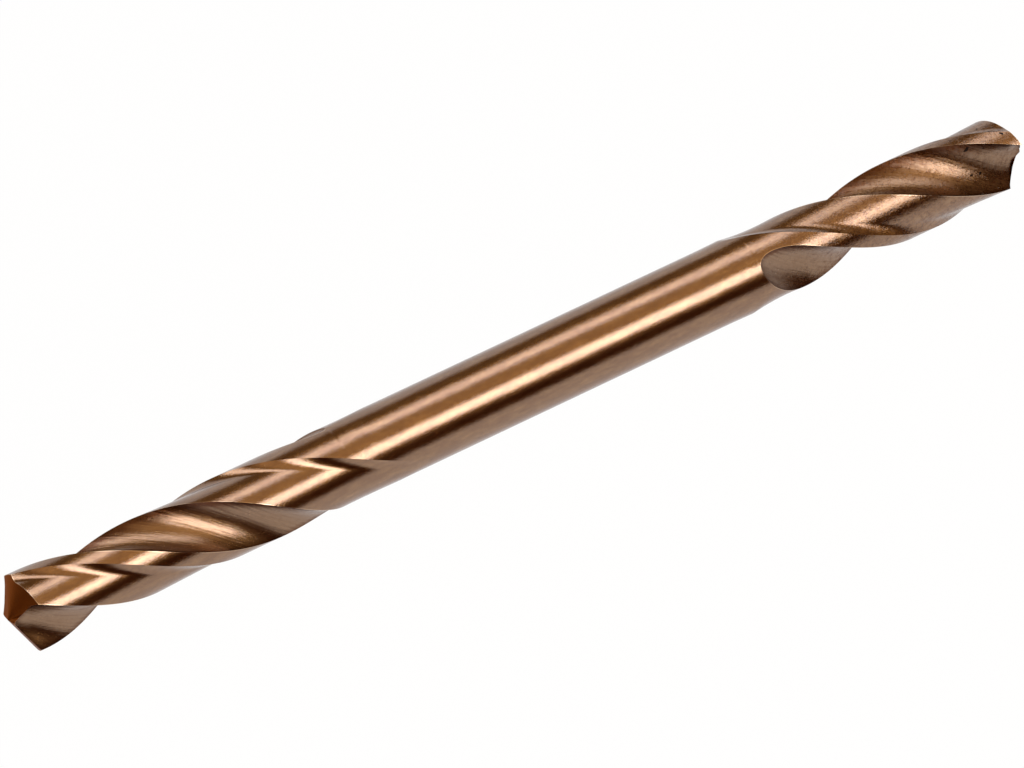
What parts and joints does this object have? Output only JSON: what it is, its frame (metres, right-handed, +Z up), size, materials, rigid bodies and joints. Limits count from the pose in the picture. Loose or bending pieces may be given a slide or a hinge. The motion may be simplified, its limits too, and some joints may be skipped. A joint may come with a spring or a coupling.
{
  "type": "double-ended drill bit",
  "caption": "Double-ended twist drill bit: a plain round shank between two short fluted bodies, each ground to a relieved point.",
  "frame": {"origin": "on the drill's axis, at half of its overall length", "axes": "+X along the axis towards the end with the shorter flutes, +Z up"},
  "size_m": [0.0506, 0.0035, 0.0034],
  "materials": {
    "ground_steel": "ground high speed steel with a bronze heat-treated oxide, semi-gloss"
  },
  "bodies": {
    "root": {"drill_bit": "ground_steel"}
  },
  "joints": []
}
